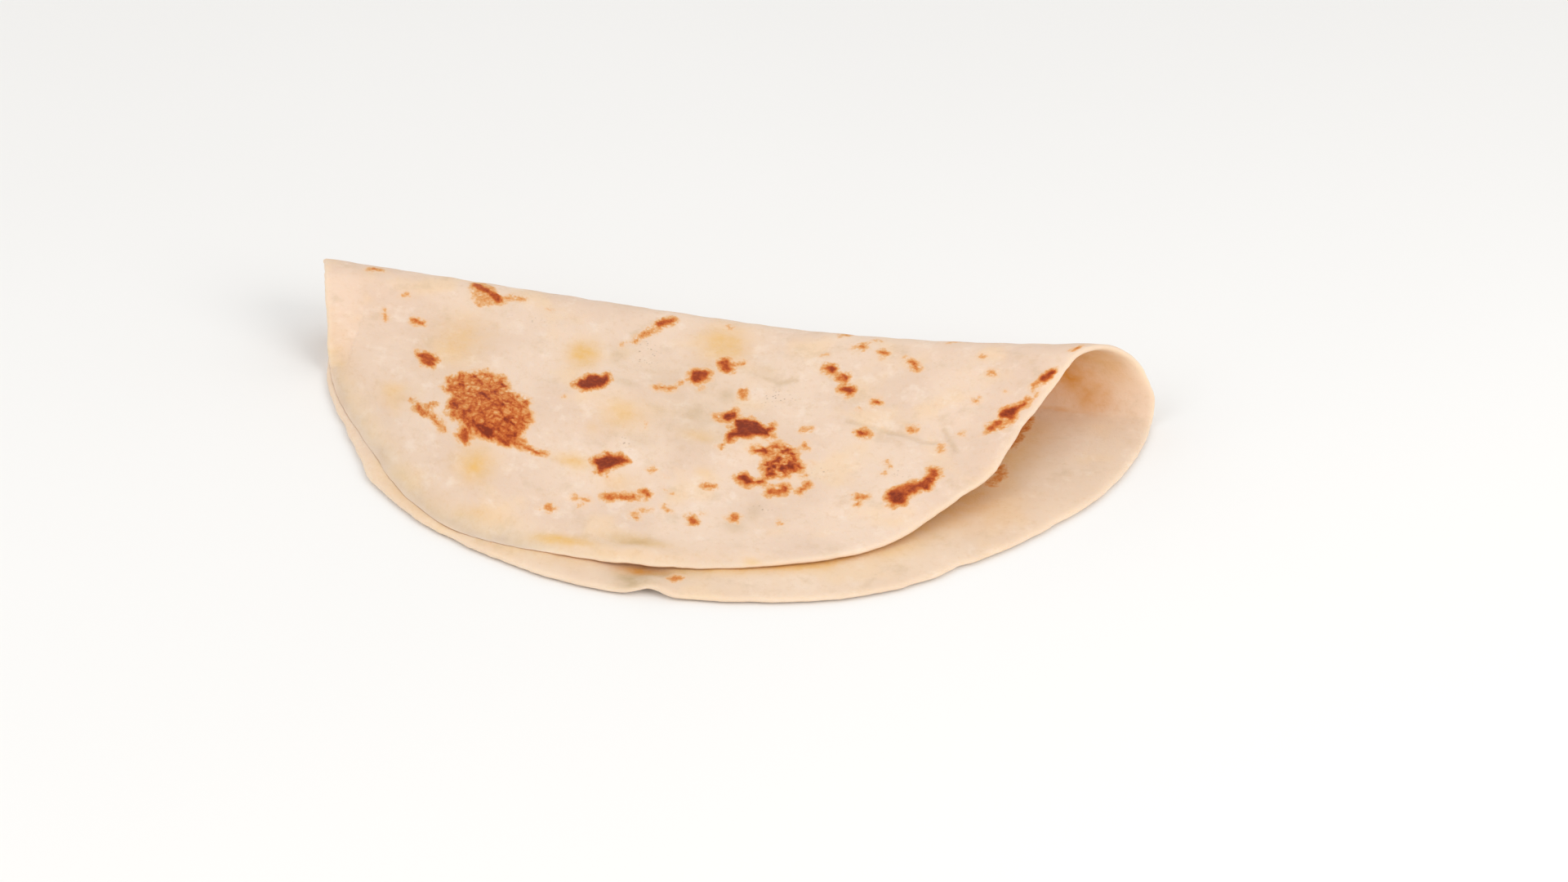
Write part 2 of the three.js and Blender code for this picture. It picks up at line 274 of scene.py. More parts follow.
OUTER_STROKES = [
    # The smear and the small marks of the left end
    (3.2, 0.78, [(-69, 25.5), (-65.5, 27)]),
    (2.2, 0.74, [(-65.5, 27.5), (-60.5, 30)]),
    (1.4, 0.45, [(-59, 28.3), (-56.5, 27.6)]),
    (1.1, 0.4, [(-55.5, 27.8), (-53, 27.7)]),
    (1.7, 0.55, [(-102, 29.3), (-99.5, 29)]),
    (2.0, 0.3, [(-89.5, 37.8), (-88.8, 36)]),
    (1.8, 0.45, [(-92.4, 48), (-92.2, 48.5)]),
    (1.1, 0.3, [(-92.5, 47.5), (-93.8, 44)]),
    (2.8, 0.62, [(-82.6, 46.7), (-81.2, 46.7)]),
    (1.6, 0.25, [(-45, 29.8), (-43.8, 29.8)]),
    # The forked streak beside the large mottled patch
    (1.5, 0.5, [(-75, 80), (-71.5, 83)]),
    (3.2, 0.62, [(-71, 84), (-68, 85)]),
    (2.0, 0.52, [(-68, 85), (-63.5, 87.5), (-61.2, 90)]),
    (1.8, 0.5, [(-69, 84), (-67.3, 81)]),
    # Dark cells inside the large mottled patch, its core and its tail
    (2.0, 0.95, [(-54.5, 72.8), (-52, 74.2)]),
    (1.5, 0.9, [(-50.5, 65), (-49, 66.5)]),
    (2.2, 0.9, [(-44, 80.8), (-42.3, 81.3)]),
    (1.8, 0.78, [(-61.3, 70), (-60.3, 70.2)]),
    (1.6, 0.9, [(-55.3, 77), (-54, 77.8)]),
    (1.8, 0.9, [(-48.3, 78.3), (-47, 79)]),
    (1.5, 0.75, [(-54.5, 63), (-53, 63.5)]),
    (1.7, 0.75, [(-58.5, 64.5), (-56, 67.5)]),
    (1.5, 0.75, [(-45.5, 70.2), (-44.5, 70.5)]),
    (1.6, 0.75, [(-51, 70), (-49, 71.3)]),
    (1.6, 0.75, [(-48, 75), (-45, 76)]),
    (2.4, 0.72, [(-61.5, 78.8), (-59.8, 80)]),
    (3.4, 1.0, [(-51.5, 86.3), (-47.5, 87.2)]),
    (2.0, 0.9, [(-47, 87.7), (-42.5, 88.8)]),
    (1.6, 0.85, [(-40.3, 85), (-39.3, 86)]),
    (1.7, 0.7, [(-41, 87.5), (-36, 88.9), (-31.5, 89.4)]),
    (3.6, 0.8, [(-55, 90), (-54.2, 91)]),
    # Two blistered streaks near the top of the roll, and the spots round them
    (2.4, 0.8, [(-11.5, 27), (-8.3, 24)]),
    (1.4, 0.62, [(-12.8, 30.3), (-15, 33)]),
    (1.6, 0.5, [(-15, 33), (-16.5, 35)]),
    (1.2, 0.32, [(-17, 36), (-20.5, 38.7)]),
    (3.4, 0.76, [(12, 38.3), (12.8, 40)]),
    (1.4, 0.45, [(14, 38.5), (16.8, 36.6)]),
    (1.6, 0.5, [(0.6, 49.6), (1.3, 48.9)]),
    (1.8, 0.46, [(-5.8, 53.3), (-1, 52.3)]),
    (1.3, 0.35, [(6.6, 50.3), (7.4, 49.8)]),
    (2.0, 0.5, [(19.8, 48), (19.9, 49.8)]),
    (1.6, 0.25, [(-31.5, 65.8), (-30.5, 65.3)]),
    (3.0, 1.0, [(17.2, 59.3), (18.6, 58.2)]),
    (1.8, 0.45, [(13.8, 60), (16, 61)]),
    (1.5, 0.4, [(18, 71.8), (18.2, 73.2)]),
    (1.2, 0.3, [(-5.2, 68.5), (-5.2, 70.8)]),
    (1.4, 0.35, [(8.8, 21.9), (9.8, 22)]),
    # The stripes and cells of the smaller mottled patch
    (1.8, 0.72, [(27.8, 71.3), (31, 71.3)]),
    (1.6, 0.7, [(33, 68.5), (34, 67.8)]),
    (1.8, 0.9, [(36.8, 70.3), (37.5, 70)]),
    (2.0, 0.72, [(39, 71), (39.8, 72.5)]),
    (1.5, 0.88, [(33, 75.5), (35, 73.5)]),
    (1.5, 0.9, [(32.3, 77.5), (34.5, 76.3)]),
    (1.5, 0.88, [(33.3, 79.3), (35.2, 77.5)]),
    (2.2, 0.95, [(33.8, 80.8), (34.6, 80)]),
    (3.0, 0.88, [(37.5, 78), (40, 76.3)]),
    (1.5, 0.8, [(37, 75), (38.5, 74)]),
    (1.6, 0.7, [(41.3, 74), (41.5, 76)]),
    (1.8, 0.4, [(41.5, 66), (42.5, 67.5)]),
    (1.6, 0.4, [(43.8, 78.6), (44, 78.2)]),
    (1.2, 0.22, [(44.5, 73), (45.5, 73)]),
    # The dark dashes below it
    (2.8, 1.0, [(26.8, 83.3), (28.2, 84.5)]),
    (1.6, 0.92, [(28.5, 84.9), (33, 84)]),
    (2.8, 0.88, [(36, 87.5), (39.5, 85.8)]),
    (1.6, 0.6, [(45.7, 82.3), (44, 86)]),
    (1.6, 0.62, [(17, 89), (19.3, 88.8)]),
    # Light spots along the front
    (1.8, 0.62, [(-14, 84.3), (-13.2, 84)]),
    (1.5, 0.35, [(-11, 93), (-10.7, 93.5)]),
    (1.8, 0.35, [(0.2, 87), (1, 86.6)]),
    (1.2, 0.28, [(5, 88), (5.3, 88)]),
    (2.2, 0.62, [(1, 95.6), (1.4, 96.5)]),
    (2.1, 0.62, [(-9.5, 100.6), (-5.5, 99), (-1.5, 98.2)]),
    (1.3, 0.26, [(5.5, 93), (6.5, 93)]),
    (1.5, 0.32, [(8.6, 94), (9, 94.1)]),
    (1.5, 0.36, [(7.5, 99), (9, 101)]),
    (1.8, 0.42, [(2, 103), (3, 102)]),
    (1.9, 0.52, [(0, 105.5), (0.5, 106)]),
    (2.8, 0.62, [(16.2, 103), (16.8, 104)]),
    (1.5, 0.32, [(18.8, 100.3), (19.3, 100.1)]),
    (2.2, 0.52, [(27.3, 100.2), (28.7, 101)]),
    (1.8, 0.32, [(41, 99.7), (41.8, 99.8)]),
    (1.5, 0.36, [(-18.8, 103.8), (-18.3, 103.7)]),
    (1.5, 0.38, [(-16.2, 103.3), (-14, 103.2)]),
    (1.4, 0.36, [(-15.8, 106), (-15.2, 106)]),
    (2.0, 0.48, [(-24.2, 109.6), (-23.7, 110)]),
    (1.3, 0.3, [(-27.2, 111), (-26.8, 111)]),
    # Spots of the right half
    (1.1, 0.6, [(42.8, 18.8), (43.4, 18.8)]),
    (1.2, 0.32, [(52.5, 21), (55, 21)]),
    (1.1, 0.5, [(75, 20.6), (75.6, 20.8)]),
    (1.5, 0.6, [(112.8, 28.8), (113.2, 29.3)]),
    (2.4, 0.62, [(49.8, 24.3), (50.6, 23.9)]),
    (1.8, 0.28, [(48.3, 25.6), (48.8, 25.6)]),
    (2.0, 0.62, [(56.8, 26.3), (57.6, 27.1)]),
    (1.4, 0.32, [(63.8, 28.8), (64.5, 29.2)]),
    (2.0, 0.66, [(66, 30.3), (68, 32.3)]),
    (2.8, 0.86, [(42.4, 34.2), (43.2, 35)]),
    (1.2, 0.28, [(38.8, 28.9), (41, 28.9)]),
    (2.4, 0.78, [(47.4, 37.2), (47.6, 38.2)]),
    (1.4, 0.5, [(47.6, 39), (48.2, 41)]),
    (3.0, 0.82, [(48.8, 42), (50.3, 42.8)]),
    (1.9, 0.64, [(59, 46.2), (59.1, 46.9)]),
    (1.4, 0.32, [(54.1, 49.8), (54.5, 49.8)]),
    (2.9, 0.88, [(57, 59.3), (57.4, 59.5)]),
    (1.7, 0.36, [(86.3, 28.6), (87.3, 29)]),
    (1.7, 0.46, [(90.2, 35.8), (91.2, 36)]),
    (1.3, 0.28, [(95.8, 43.2), (96.2, 43.2)]),
    (1.7, 0.42, [(87.6, 45), (88.5, 45.5)]),
    (1.7, 0.5, [(70.7, 55.8), (71.5, 56.3)]),
    (1.5, 0.36, [(85.5, 58), (85.9, 58)]),
    (1.8, 0.46, [(80.8, 63), (81, 64.5)]),
    (2.2, 0.36, [(40.2, 60.8), (41.8, 59.8)]),
    (1.5, 0.38, [(66.3, 70.5), (66.5, 71.5)]),
    (1.5, 0.42, [(67.4, 73), (67.6, 73.4)]),
    (1.5, 0.36, [(66.5, 75.4), (66.7, 75.8)]),
    (2.6, 0.52, [(60.8, 86), (62.5, 85.8)]),
    (1.8, 0.52, [(61.2, 88.6), (61.4, 89)]),
    # The long blister at the right front, and the two at the mouth
    (4.6, 0.98, [(71.5, 85.3), (72.3, 86.8)]),
    (2.4, 0.92, [(74.5, 82.3), (79, 80)]),
    (3.0, 0.95, [(97, 51.3), (99.5, 50)]),
    (2.0, 0.8, [(99.5, 49.5), (102.5, 48.3)]),
    (2.2, 0.85, [(98.3, 51.5), (99, 52.5)]),
    (2.2, 0.74, [(93.5, 56.5), (96, 55)]),
    (1.6, 0.42, [(92, 58.3), (93, 57.5)]),
    (2.4, 0.42, [(97, 56.5), (99, 53.8)]),
    (2.6, 0.95, [(106.5, 40), (108.6, 38.2)]),
    (1.8, 0.5, [(104, 42), (106, 40.5)]),
    (1.5, 0.38, [(105, 44.8), (105.4, 45.2)]),
    (0.9, 0.9, [(103.2, 46.6), (103.3, 46.7)]),
]

# Mottled patches, where many small bubbles browned: the heat between the bubbles, and the outline
OUTER_MOTTLED = [
    (0.4, [(-56, 59.5), (-60.5, 63.5), (-66, 67), (-66.5, 73), (-63, 75), (-62.5, 80), (-61.5, 84),
           (-57, 86), (-53, 88.5), (-47, 89.8), (-40.5, 88.8), (-38.5, 86.5), (-39.5, 84),
           (-37.5, 78), (-39, 74), (-40.5, 69), (-45, 69), (-47.5, 66), (-50, 61.3), (-54.5, 62)]),
    (0.28, [(26.8, 71.5), (29, 69.8), (33, 67), (36, 66.3), (40, 68), (42, 75), (41.8, 78),
            (39.5, 80.5), (34.5, 81.5), (31.8, 77), (33.5, 73.2), (27.5, 72.8)]),
]
PALE_CELLS = [
    (2.6, [(-57.5, 74.5), (-55.3, 75.3)]),
    (1.6, [(-52.5, 66), (-51.5, 66.5)]),
    (1.6, [(34, 71), (35.5, 71.5)]),
    (1.0, [(37.3, 86.8), (37.6, 86.6)]),
]

# Marks that show on the inside of the fold
INNER_STROKES = [
    (3.4, 0.43, [(86.5, -51), (88, -46), (87.5, -41)]),
    (3.4, 0.5, [(88.5, -29), (90, -21), (91.5, -13)]),
    (2.6, 0.5, [(8, -118.4), (8.8, -116.8)]),
    (1.3, 0.42, [(-46.5, -111.7), (-46.1, -111.7)]),
]

# Patches of fat and of thicker dough, yellow or grey: place, size along and across, and strength
BUTTER_PATCHES = [
    (-30, 45.5, 8, 10, 1.0),
    (9.5, 30, 12, 14, 0.85),
    (-12.5, 67, 12, 11, 0.55),
    (11, 69.5, 9, 4, 0.6),
    (-23, 89.5, 8, 4, 0.85),
    (-49, 99.5, 9, 11, 0.9),
    (-81, 80, 9, 9, 0.45),
    (-67.5, 51, 14, 20, 0.5),
    (-7, 94, 9, 6, 0.4),
    (15.5, 83.5, 4, 3, 0.35),
    (-19.5, 75, 4, 5, 0.3),
    (-17, 121.5, 17, 4, 1.0),
    (-42, 117, 18, 5, 0.5),
    (37.5, 119, 5, 3, 0.8),
    (4, 117, 14, 4.5, 0.8),
]
ASH_PATCHES = [
    (15, 51, 5, 7, 0.6),
    (7, 60, 8, 9, 0.6),
    (-20, 43, 6, 8, 0.4),
    (-15, 54, 9, 4, 0.35),
    (24, 39, 7, 6, 0.3),
    (29, 103.5, 6, 5, 0.5),
    (33, 97, 4, 8, 0.35),
    (3, 117, 14, 5, 0.6),
    (-5, 76, 8, 5, 0.3),
    (10, 62, 26, 20, 0.35),
    (-2, 48, 30, 14, 0.2),
]

# The inside is tan where the roll is, partly from toasting and partly as painted warm shade in its
# hollow. Along the crease, under the upper rim and in the opening at the front, tan and yellow are
# painted shade and shadow, and a grey painted shade lies where the layers pinch at the front.
INNER_TAN_AND_SHADE = [
    (101.5, 5.5, 12, 10, 1.0),
    (96, 1, 16, 10, 0.4),
    (107.5, 0, 13, 10, 0.75),
    # Painted shade along the crease, and under the upper rim at the mouth
    (100, -5.5, 24, 3, 0.5),
    (86, -64, 24, 24, 0.3),
    # The roll's inside, tan from toasting and from painted warm shade
    (99, 8, 28, 22, 0.6),
    (86, 26, 40, 24, 0.6),
    (40, 20, 70, 30, 0.7),
    (-60, 20, 80, 30, 0.6),
    # Painted shade under the upper rim, and the painted shadow in the opening at the front
    (90, -24, 18, 26, 0.1),
    (-1.5, -115, 12, 4.5, 1.0),
]
# Yellow inside the roll, and a painted warm shade under the upper rim at the front
INNER_YELLOW_AND_SHADE = [
    (112, 16, 18, 18, 0.5),
    (37, -107, 6, 5, 0.5),
]
# Painted grey shade where the layers pinch at the front, round the nick
INNER_PINCH_SHADE = [
    (2, -116, 12, 6, 1.0),
    (-1, -124, 10, 7, 1.0),
    (-3, -120, 10, 7, 1.0),
    (10, -113, 10, 4, 0.5),
]

# Painted warm shade: the lower layer is yellower where the upper rim lies over it and shades it.
# Each line's reach and strength
UNDER_RIM_SHADE = [
    (6, 0.45, [(-85, -78), (-78, -90), (-61, -103), (-40, -110), (-19, -112)]),
    (3, 0.9, [(8, -112.5), (25, -109), (47, -102), (60, -90)]),
    (8, 0.65, [(62, -88), (75, -68), (85, -48), (90, -20)]),
]

# The upper layer's rim is yellower at the left front, and on its inside tan as a painted warm shade:
# how strongly, how far in from the rim, and between which distances across and along the sheet it
# comes in or fades
RIM_YELLOW = 0.3
RIM_YELLOW_REACH = 7
YELLOW_STARTS = (40, 70)
YELLOW_FADES = (0, 50)
RIM_SHADE_TAN = 0.7
RIM_TAN_REACH = 3
RIM_TAN_STARTS = (60, 80)

# Clusters of pinholes in the outer face: place, size along and across, and strength
PINHOLES = [
    (-12.5, 40, 6, 8, 1.0),
    (30, 49, 8, 5, 0.9),
    (35, 95.5, 5, 4, 0.8),
    (-10, 78.5, 5, 4, 0.7),
    (48.3, 76.8, 4, 4, 0.7),
    (-50, 36, 10, 5, 0.4),
    (70, 75, 9, 5, 0.4),
]


def line_distance(along, across, points):
    """Distance from each place to a line through the points."""
    nearest = np.full_like(along, np.inf)
    for (start_along, start_across), (end_along, end_across) in zip(points[:-1], points[1:]):
        run, rise = end_along - start_along, end_across - start_across
        share = ((along - start_along) * run + (across - start_across) * rise) / (run * run + rise * rise)
        share = np.clip(share, 0, 1)
        away = np.hypot(along - start_along - share * run, across - start_across - share * rise)
        nearest = np.minimum(nearest, away)
    return nearest


def outline_distance(along, across, outline):
    """Distance from each place to an outline, below nought on the inside."""
    closed = outline + outline[:1]
    inside = np.zeros(len(along), bool)
    for (start_along, start_across), (end_along, end_across) in zip(closed[:-1], closed[1:]):
        if start_across == end_across:
            continue
        run, rise = end_along - start_along, end_across - start_across
        crosses = (start_across > across) != (end_across > across)
        inside ^= crosses & (along < start_along + (across - start_across) * run / rise)
    away = line_distance(along, across, closed)
    return np.where(inside, -away, away)


# A mark's heat fades over a short way, so that its rim is a soft line of orange
HEAT_FADES_OUT = 1.1
HEAT_FADES_IN = -1.1
HALO_REACH = 2.7
HALO_SHARE = 0.4
STROKE_HEAT = 0.93
PALE_CELL_SHARE = 0.6


def heat_of(distance, heat):
    """Heat at each distance from a mark's outline: full inside, with a faint halo about it."""
    core = 1 - smooth_step(distance, HEAT_FADES_IN, HEAT_FADES_OUT)
    halo = HALO_SHARE * (1 - smooth_step(distance, 0, HALO_REACH))
    return heat * np.maximum(core, halo)


def scorched(along, across, blots, strokes, pale=()):
    """Heat of the griddle's marks at each place."""
    heat = np.zeros_like(along)
    for strength, outline in blots:
        heat = np.maximum(heat, heat_of(outline_distance(along, across, outline), strength))
    for width, strength, points in strokes:
        distance = line_distance(along, across, points) - width / 2
        heat = np.maximum(heat, heat_of(distance, STROKE_HEAT * strength))
    for width, points in pale:
        distance = line_distance(along, across, points) - width / 2
        heat *= 1 - PALE_CELL_SHARE * heat_of(distance, 1)
    return heat


# Unevenness is a sum of many waves whose lengths are these shares of the length asked for
UNEVEN_WAVES = 28
UNEVEN_LENGTHS = (0.75, 1.4)


def unevenness(along, across, length, seed):
    """Smooth random ups and downs, mostly from -1 to 1, of about one length in millimetres."""
    draw = np.random.default_rng(seed)
    total = np.zeros_like(along)
    for _ in range(UNEVEN_WAVES):
        turn, start = draw.uniform(0, 2 * math.pi, 2)
        number = 2 * math.pi / (length * draw.uniform(*UNEVEN_LENGTHS))
        total += np.sin(number * (along * math.cos(turn) + across * math.sin(turn)) + start)
    return total * math.sqrt(0.5 / UNEVEN_WAVES)


# The marks' outlines are ragged: how far they stray, over about which lengths, and by which seed
STRAYING = [(0.6, 5.5, 21), (0.3, 2.6, 23)]


def strayed(along, across):
    """Places moved a little each way by smooth random lengths."""
    moved_along, moved_across = along.copy(), across.copy()
    for reach, length, seed in STRAYING:
        moved_along += reach * unevenness(along, across, length, seed)
        moved_across += reach * unevenness(along, across, length, seed + 1)
    return moved_along, moved_across


# The marks were read with the roll a little high. They sit nearer to the crease by these lengths,
# near the roll and at the left end, and a little further right towards the front. Each of these
# comes in or fades out between two distances from the sheet's centre.
READ_NEAR_ROLL = 2.1
READ_AT_LEFT = 1.6
READ_TO_RIGHT = 0.7
READ_WIDER = 1.005
NEAR_ROLL_FADES = (22, 64)
AT_LEFT_STARTS = (70, 98)
AT_LEFT_FADES = (45, 85)
TO_RIGHT_STARTS = (30, 100)


def read_place(along, across):
    """The place in the lists of marks that each place of the outer face stands for."""
    near_roll = 1 - smooth_step(across, *NEAR_ROLL_FADES)
    at_left = smooth_step(-along, *AT_LEFT_STARTS) * (1 - smooth_step(across, *AT_LEFT_FADES))
    to_front = smooth_step(across, *TO_RIGHT_STARTS)
    read_across = across + READ_NEAR_ROLL * near_roll + READ_AT_LEFT * at_left
    return along / READ_WIDER - READ_TO_RIGHT * to_front, read_across


# A patch fades out from its middle, and faster for a larger number
PATCH_FADE = 1.7


def patches(along, across, places):
    """Strength of soft oval patches at each place."""
    strength = np.zeros_like(along)
    for centre_along, centre_across, length, width, amount in places:
        away = np.hypot((along - centre_along) / length, (across - centre_across) / width)
        strength = np.maximum(strength, amount * np.exp(-((PATCH_FADE * away) ** 2)))
    return strength


# The sides that don't show are marked by a rule: the same kinds of spots, at seeded places. They
# keep within the rim, and their heat comes from their size and partly from chance.
HIDDEN_SEED = 11
UNDERSIDE_SPOTS = 62
BACK_SPOTS = 14
INSIDE_SPOTS = 20
LEFT_MOST = -108
NARROWEST = 1.4
SPOT_LENGTHS = (0.2, 1.3)
CHANCE_IN_HEAT = 0.35
CLEAR_OF_RIM = 12


def seeded_strokes(count, heats, widest, furthest, reaches, seed):
    """Short strokes up to a distance along the sheet, and between two distances across it."""
    coolest, hottest = heats
    draw = np.random.default_rng(seed)
    made = []
    while len(made) < count:
        along, across = draw.uniform(LEFT_MOST, furthest), draw.uniform(*reaches)
        size = draw.random() ** 2
        width = NARROWEST + (widest - NARROWEST) * size
        rank = CHANCE_IN_HEAT * draw.random() + (1 - CHANCE_IN_HEAT) * size
        heat = coolest + (hottest - coolest) * rank
        turn = draw.uniform(0, math.pi)
        length = width * draw.uniform(*SPOT_LENGTHS)
        if math.hypot(along, across) > SHEET_RADIUS - CLEAR_OF_RIM:
            continue
        end = (along + length * math.cos(turn), across + length * math.sin(turn))
        made.append((width, heat, [(along, across), end]))
    return made


BLOB_CORNERS = 11
BLOB_REACHES = (0.75, 1.2)


def blob(centre_along, centre_across, size, seed):
    """An uneven round outline."""
    draw = np.random.default_rng(seed)
    outline = []
    for corner in range(BLOB_CORNERS):
        turn = 2 * math.pi * corner / BLOB_CORNERS
        reach = size * draw.uniform(*BLOB_REACHES)
        outline.append((centre_along + reach * math.cos(turn), centre_across + reach * math.sin(turn)))
    return outline


UNDERSIDE_STROKES = seeded_strokes(
    UNDERSIDE_SPOTS, heats=(0.35, 1.0), widest=7, furthest=108, reaches=(-112, -12), seed=HIDDEN_SEED
)
UNDERSIDE_STROKES += seeded_strokes(
    BACK_SPOTS, heats=(0.35, 0.9), widest=5, furthest=105, reaches=(-9, 12), seed=HIDDEN_SEED + 4
)
UNDERSIDE_MOTTLED = [
    (0.42, blob(-38, -62, 12, HIDDEN_SEED)),
    (0.4, blob(47, -48, 10, HIDDEN_SEED + 1)),
    (0.36, blob(8, -92, 8, HIDDEN_SEED + 2)),
]
UNDERSIDE_BUTTER = [(-70, -35, 15, 12, 0.5), (15, -40, 12, 10, 0.6), (70, -70, 12, 14, 0.5)]
INSIDE_STROKES = seeded_strokes(
    INSIDE_SPOTS, heats=(0.25, 0.6), widest=3.5, furthest=50, reaches=(-85, 100), seed=HIDDEN_SEED + 3
)


# The sheet's small unevenness. Blisters stand out of the outer face, as in the solid, and fade
# out at this share of their width.
BLISTER_REACH = 0.6
BLISTERS = [
    {"along": -50, "across": 79, "width": 27, "rise": 1.1},
    {"along": -67, "across": 84, "width": 14, "rise": 0.5},
    {"along": -24, "across": 61, "width": 13, "rise": 0.6},
    {"along": 25, "across": 68, "width": 17, "rise": 0.8},
    {"along": 36, "across": 79, "width": 19, "rise": 0.8},
    {"along": -10, "across": 91, "width": 13, "rise": 0.6},
    {"along": 77, "across": 87, "width": 17, "rise": 0.7},
    {"along": 97, "across": 64, "width": 16, "rise": 0.6},
]

# Wrinkles of the outer face: width, height (a groove's is below nought) and the line it follows
WRINKLES = [
    (1.7, -0.4, [(65, 57.8), (70, 58.4), (75, 61), (79, 61.5)]),
    (1.6, -0.35, [(80.5, 56), (82.5, 60), (85.5, 65)]),
    (1.5, -0.25, [(52, 55), (59, 56.5), (65, 57.8)]),
    (2.2, 0.22, [(86, 24.4), (93, 26.2), (101, 28.6)]),
    (1.8, 0.3, [(-72, 86.3), (-68, 87.6), (-63.5, 90.5)]),
    (5.5, -0.4, [(-48, 116), (-30, 119.5), (-10, 119.3), (3, 117), (12, 111)]),
    (1.8, -0.15, [(20, 40), (29, 42.5), (34, 40.5)]),
    (2.0, -0.18, [(-15, 53), (-9, 50), (-4, 50.5)]),
    (2.4, -0.2, [(40, 93), (58, 95), (72, 93)]),
]

# Dimples, small bubbles in the mottled patches, and the crust on the marks: height and length
DIMPLE_HEIGHT = 0.13
DIMPLE_LENGTH = 11
SMALL_DIMPLE_SHARE = 0.4
SMALL_DIMPLE_LENGTH = 5
INNER_DIMPLE_SHARE = 0.5
INNER_DIMPLE_LENGTH = 9
BUBBLE_HEIGHT = 0.16
BUBBLE_LENGTH = 3.4
CRUST_HEIGHT = 0.14


def outer_relief(along, across, heat, mottle):
    """Height of the outer face over an even sheet."""
    rise = np.zeros_like(along)
    for blister in BLISTERS:
        away = np.hypot(along - blister["along"], across - blister["across"])
        rise += blister["rise"] * (1 - smooth_step(away, 0, BLISTER_REACH * blister["width"]))
    for width, height, points in WRINKLES:
        rise += height * np.exp(-((2 * line_distance(along, across, points) / width) ** 2))
    rise += DIMPLE_HEIGHT * unevenness(along, across, DIMPLE_LENGTH, 1)
    rise += SMALL_DIMPLE_SHARE * DIMPLE_HEIGHT * unevenness(along, across, SMALL_DIMPLE_LENGTH, 2)
    rise += BUBBLE_HEIGHT * mottle * unevenness(along, across, BUBBLE_LENGTH, 3)
    rise += CRUST_HEIGHT * heat
    return rise


# The upper layer's rim touches the lower layer along the front. That ends towards the mouth, and at
# the left front the rim is pressed on. Each comes in or ends between two distances.
LANDED_ACROSS = (60, 80)
TOUCH_ENDS = (30, 60)
PRESSED_STARTS = (12, 30)

# There the rim is rolled thin and droops: how thin it gets, over which length, how close it comes,
# and how far it droops at most
TOUCH_THINNING = 0.45
PRESSED_THINNING = 0.93
TOUCH_REACH = 3
PRESSED_REACH = 7
TOUCH_GAP = 0.15
PRESSED_GAP = 0.08
MOST_DROOP = 2

# A short opening stays between the layers at the front, over a dip in the lower one
OPENING_ALONG = 5.5
OPENING_WIDTH = 16
OPENING_GAP = 0.65
DIP_ALONG = -1.5
DIP_ACROSS = -115
DIP_LENGTH = 10
DIP_WIDTH = 4.5
DIP_DEPTH = 1.2

# The mesh starts as a flat block of one layer of cells, from -1 to 1 each way. Its rim wall is cut
# into steps to be rounded, and the outer face is cut finer from the crease to the upper rim.
GRID_CELLS = 160
RIM_STEPS = 4
RIM_ROUNDING = 0.75
RIM_THINNING = 0.2
RIM_THINS_FROM = 1.8

# The rim ripples and is a little rough: each ripple's lobes, depth and turn, how far in from the
# rim both reach, and the roughness's height, length and seed, coarse and fine
RIM_RIPPLES = [(8, 0.28, -3), (10, 0.3, 12), (11, 0.26, -1), (12, 0.25, -3), (13, 0.2, 1)]
RIPPLES_REACH = 12
RIM_ROUGHNESS = [(0.2, 9, 31), (0.1, 3.5, 32)]

# The mesh's rows crowd together at the crease: by which share, and how near to it
CREASE_CROWDING = 0.45
CREASE_CROWDING_REACH = 0.07

block = bmesh.new()
bmesh.ops.create_grid(block, x_segments=GRID_CELLS, y_segments=GRID_CELLS, size=1)
lifted = bmesh.ops.extrude_face_region(block, geom=block.faces[:])
lifted_points = [part for part in lifted["geom"] if isinstance(part, bmesh.types.BMVert)]
bmesh.ops.translate(block, verts=lifted_points, vec=(0, 0, 1))
lower_points = [corner for corner in block.verts if corner.co.z < 0.5]
bmesh.ops.translate(block, verts=lower_points, vec=(0, 0, -1))
wall = [edge for edge in block.edges if edge.verts[0].co.z != edge.verts[1].co.z]
bmesh.ops.subdivide_edges(block, edges=wall, cuts=RIM_STEPS - 1)
shown = set()
for face in block.faces:
    if all(corner.co.z < -0.99 and corner.co.y > -0.001 for corner in face.verts):
        shown.update(face.edges)
bmesh.ops.subdivide_edges(block, edges=list(shown), cuts=1, use_grid_fill=True)
bmesh.ops.recalc_face_normals(block, faces=block.faces)
sheet_mesh = bpy.data.meshes.new("tortilla_sheet")
block.to_mesh(sheet_mesh)
block.free()
sheet_mesh.shade_smooth()

place = np.empty(len(sheet_mesh.vertices) * 3)
sheet_mesh.vertices.foreach_get("co", place)
grid_x, grid_y, side = place.reshape(-1, 3).T
at_rim = np.maximum(abs(grid_x), abs(grid_y)) > 1 - 1e-5


def disc_place(x, y):
    """Carries the square onto a disc of radius 1, with its middle row on the crease."""
    y = y * (1 - CREASE_CROWDING * np.exp(-((y / CREASE_CROWDING_REACH) ** 2)))
    wide = abs(x) >= abs(y)
    ring = np.where(wide, x, y)
    turn = math.pi / 4 * np.where(wide, y, x) / np.where(ring == 0, 1, ring)
    disc_x = ring * np.where(wide, np.cos(turn), np.sin(turn))
    disc_y = ring * np.where(wide, np.sin(turn), np.cos(turn))
    shift = -CENTRE_ACROSS / SHEET_RADIUS
    squeeze = 1 - 2 * shift * disc_y - shift**2 * (1 - disc_y**2)
    return disc_x * np.sqrt(squeeze), disc_y + shift * (1 - disc_y**2)


